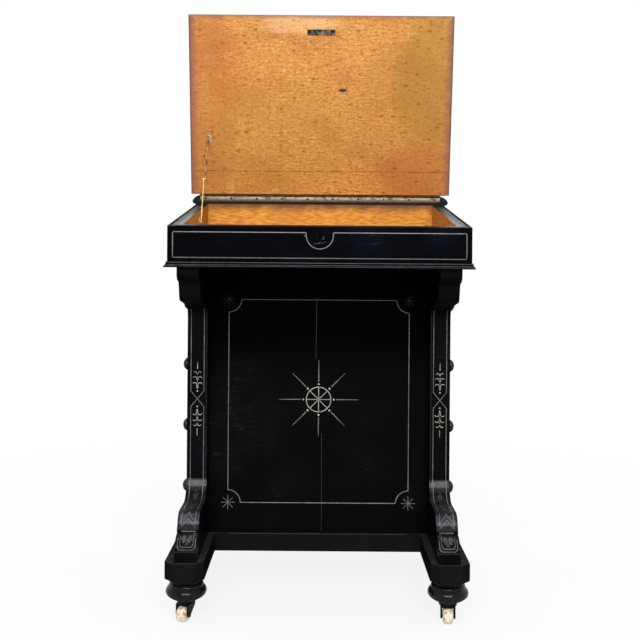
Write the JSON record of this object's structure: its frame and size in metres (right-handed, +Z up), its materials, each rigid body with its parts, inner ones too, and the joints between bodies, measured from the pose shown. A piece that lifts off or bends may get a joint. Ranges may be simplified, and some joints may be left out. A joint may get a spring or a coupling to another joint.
{
  "type": "davenport desk",
  "caption": "Small upright desk with a sloped lifting lid on a stay, scroll-cut supports, side drawers with turned knobs, and bun feet on casters.",
  "frame": {"origin": "on the floor under the middle of the desk", "axes": "+X to the sitter's right, +Y to the back of the desk, +Z up"},
  "size_m": [0.579, 0.506, 1.2121],
  "materials": {
    "ebonised": "french polish",
    "lid_wood": "satin",
    "pale_wood": "satin",
    "leather": "waxed",
    "brass": "worn",
    "dark_brass": "aged",
    "steel": "dull",
    "porcelain": "glazed"
  },
  "bodies": {
    "root": {"box_front": "ebonised", "box_side_left": "ebonised", "box_side_right": "ebonised", "box_back": "ebonised", "box_bottom": "pale_wood", "well_back": "pale_wood", "well_lining": "pale_wood", "base_moulding": "ebonised", "rear_shelf": "ebonised", "escutcheon": "brass", "lock_case": "brass", "hinge_leaf_shelf": "brass", "hinge_pin": "steel", "hinge_screws": "brass", "stay_box_bracket": "brass", "pedestal_front": "ebonised", "pedestal_back": "ebonised", "base_board": "pale_wood", "top_board": "pale_wood", "side_panel_left": "ebonised", "drawer_dividers": "ebonised", "false_fronts": "ebonised", "false_knobs": "ebonised", "support_left": "ebonised", "support_right": "ebonised", "runner_left": "ebonised", "runner_right": "ebonised", "apron_front": "ebonised", "apron_back": "ebonised", "bun_feet": "ebonised", "caster_sockets": "dark_brass"},
    "lid": {"lid_board": "lid_wood", "lid_leather": "leather", "link_plate": "brass", "hinge_leaf_lid": "brass", "stay_lid_bracket": "brass"},
    "stay_lower": {"stay_lower_arm": "brass"},
    "stay_upper": {"stay_upper_arm": "brass"},
    "bolt": {"lock_bolt": "steel"},
    "drawer_1": {"drawer_1_front": "ebonised", "drawer_1_box": "pale_wood", "drawer_1_knobs": "ebonised"},
    "drawer_2": {"drawer_2_front": "ebonised", "drawer_2_box": "pale_wood", "drawer_2_knobs": "ebonised"},
    "drawer_3": {"drawer_3_front": "ebonised", "drawer_3_box": "pale_wood", "drawer_3_knobs": "ebonised"},
    "drawer_4": {"drawer_4_front": "ebonised", "drawer_4_box": "pale_wood", "drawer_4_knobs": "ebonised"},
    "caster_front_left": {"caster_fork_front_left": "dark_brass"},
    "wheel_front_left": {"caster_wheel_front_left": "porcelain"},
    "caster_front_right": {"caster_fork_front_right": "dark_brass"},
    "wheel_front_right": {"caster_wheel_front_right": "porcelain"},
    "caster_rear_left": {"caster_fork_rear_left": "dark_brass"},
    "wheel_rear_left": {"caster_wheel_rear_left": "porcelain"},
    "caster_rear_right": {"caster_fork_rear_right": "dark_brass"},
    "wheel_rear_right": {"caster_wheel_rear_right": "porcelain"}
  },
  "joints": [
    {"name": "lid_hinge", "type": "hinge", "parent": "root", "child": "lid", "pos_m": [0, 0.131, 0.8255], "axis": [1, 0, 0], "range_deg": [0, 90]},
    {"name": "stay_lower_pivot", "type": "hinge", "parent": "root", "child": "stay_lower", "pos_m": [-0.2507, -0.005, 0.7565], "axis": [1, 0, 0], "range_deg": [-93.65, 0]},
    {"name": "stay_upper_pivot", "type": "hinge", "parent": "lid", "child": "stay_upper", "pos_m": [-0.2482, 0.08213, 0.94806], "axis": [1, 0, 0], "range_deg": [-16.86, 0]},
    {"name": "lock_bolt_slide", "type": "slide", "parent": "root", "child": "bolt", "axis": [1, 0, 0], "range_m": [0, 0.007]},
    {"name": "drawer_1_slide", "type": "slide", "parent": "root", "child": "drawer_1", "axis": [1, 0, 0], "range_m": [0, 0.38]},
    {"name": "drawer_2_slide", "type": "slide", "parent": "root", "child": "drawer_2", "axis": [1, 0, 0], "range_m": [0, 0.38]},
    {"name": "drawer_3_slide", "type": "slide", "parent": "root", "child": "drawer_3", "axis": [1, 0, 0], "range_m": [0, 0.38]},
    {"name": "drawer_4_slide", "type": "slide", "parent": "root", "child": "drawer_4", "axis": [1, 0, 0], "range_m": [0, 0.38]},
    {"name": "swivel_front_left", "type": "hinge", "parent": "root", "child": "caster_front_left", "pos_m": [-0.2465, -0.202, 0.045], "axis": [0, 0, 1], "continuous": true},
    {"name": "roll_front_left", "type": "hinge", "parent": "caster_front_left", "child": "wheel_front_left", "pos_m": [-0.2503, -0.21016, 0.015], "axis": [-0.9063, 0.4226, 0], "continuous": true},
    {"name": "swivel_front_right", "type": "hinge", "parent": "root", "child": "caster_front_right", "pos_m": [0.2465, -0.202, 0.045], "axis": [0, 0, 1], "continuous": true},
    {"name": "roll_front_right", "type": "hinge", "parent": "caster_front_right", "child": "wheel_front_right", "pos_m": [0.24556, -0.21095, 0.015], "axis": [-0.9945, 0.1045, 0], "continuous": true},
    {"name": "swivel_rear_left", "type": "hinge", "parent": "root", "child": "caster_rear_left", "pos_m": [-0.2465, 0.198, 0.045], "axis": [0, 0, 1], "continuous": true},
    {"name": "roll_rear_left", "type": "hinge", "parent": "caster_rear_left", "child": "wheel_rear_left", "pos_m": [-0.24806, 0.18914, 0.015], "axis": [-0.9848, 0.1736, 0], "continuous": true},
    {"name": "swivel_rear_right", "type": "hinge", "parent": "root", "child": "caster_rear_right", "pos_m": [0.2465, 0.198, 0.045], "axis": [0, 0, 1], "continuous": true},
    {"name": "roll_rear_right", "type": "hinge", "parent": "caster_rear_right", "child": "wheel_rear_right", "pos_m": [0.24806, 0.18914, 0.015], "axis": [-0.9848, -0.1736, 0], "continuous": true}
  ],
  "couplings": [
    {"joint": "stay_lower_pivot", "follows": "lid_hinge", "ratio": -1.0295},
    {"joint": "stay_upper_pivot", "follows": "lid_hinge", "ratio": -0.17627}
  ]
}
